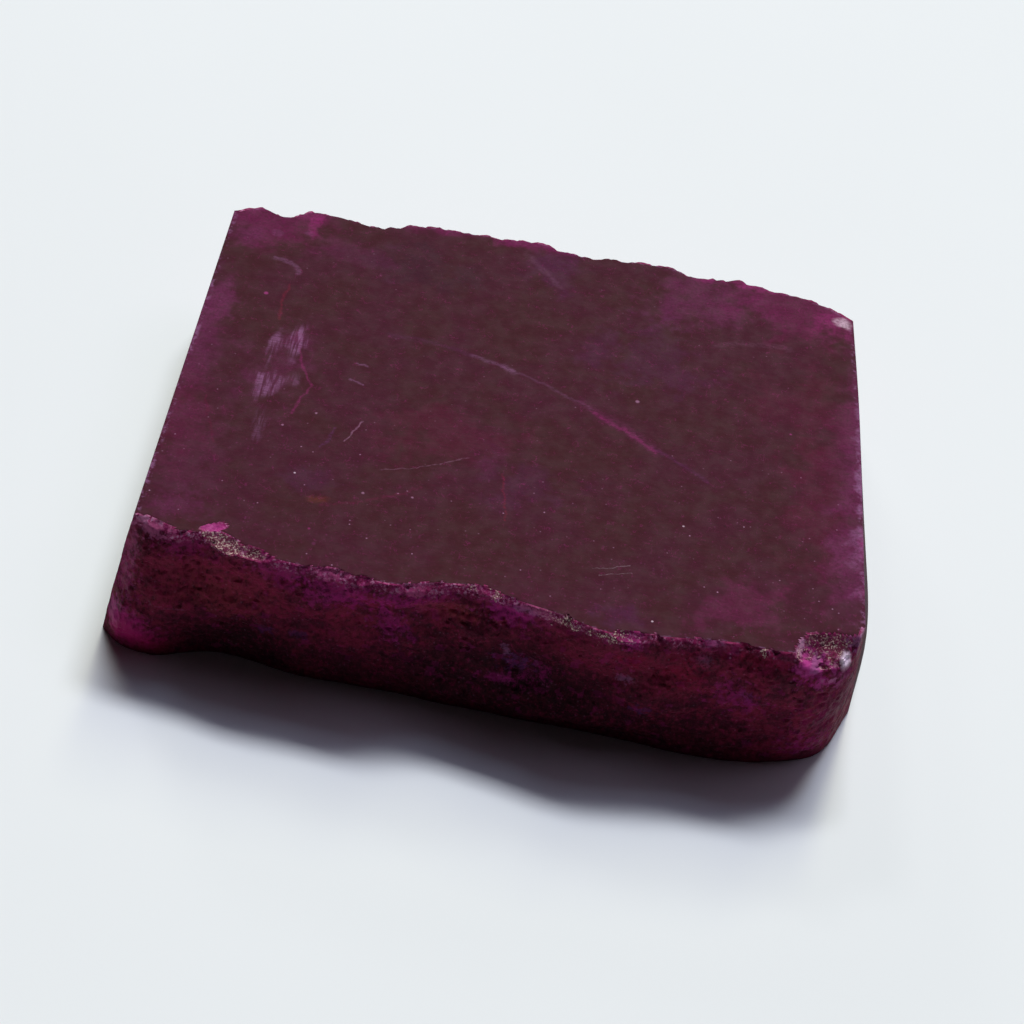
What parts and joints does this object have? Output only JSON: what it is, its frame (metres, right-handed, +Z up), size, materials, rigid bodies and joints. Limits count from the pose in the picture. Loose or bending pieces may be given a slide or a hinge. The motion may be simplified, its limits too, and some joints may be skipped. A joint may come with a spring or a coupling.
{
  "type": "raw ruby crystal",
  "caption": "Raw ruby slab lying flat: an opaque dark red stone with a sawn top, base and sides, and a broken front and back with chipped rims.",
  "frame": {"origin": "on the surface it lies on, under the middle of the slab's bounding box", "axes": "+X along the broken front edge, +Y from the front to the back, +Z up out of the sawn top"},
  "size_m": [0.049, 0.0376, 0.01],
  "materials": {
    "ruby": "satin where it is sawn, rough and sparkling where it is broken"
  },
  "bodies": {
    "root": {"raw_ruby": "ruby"}
  },
  "joints": []
}
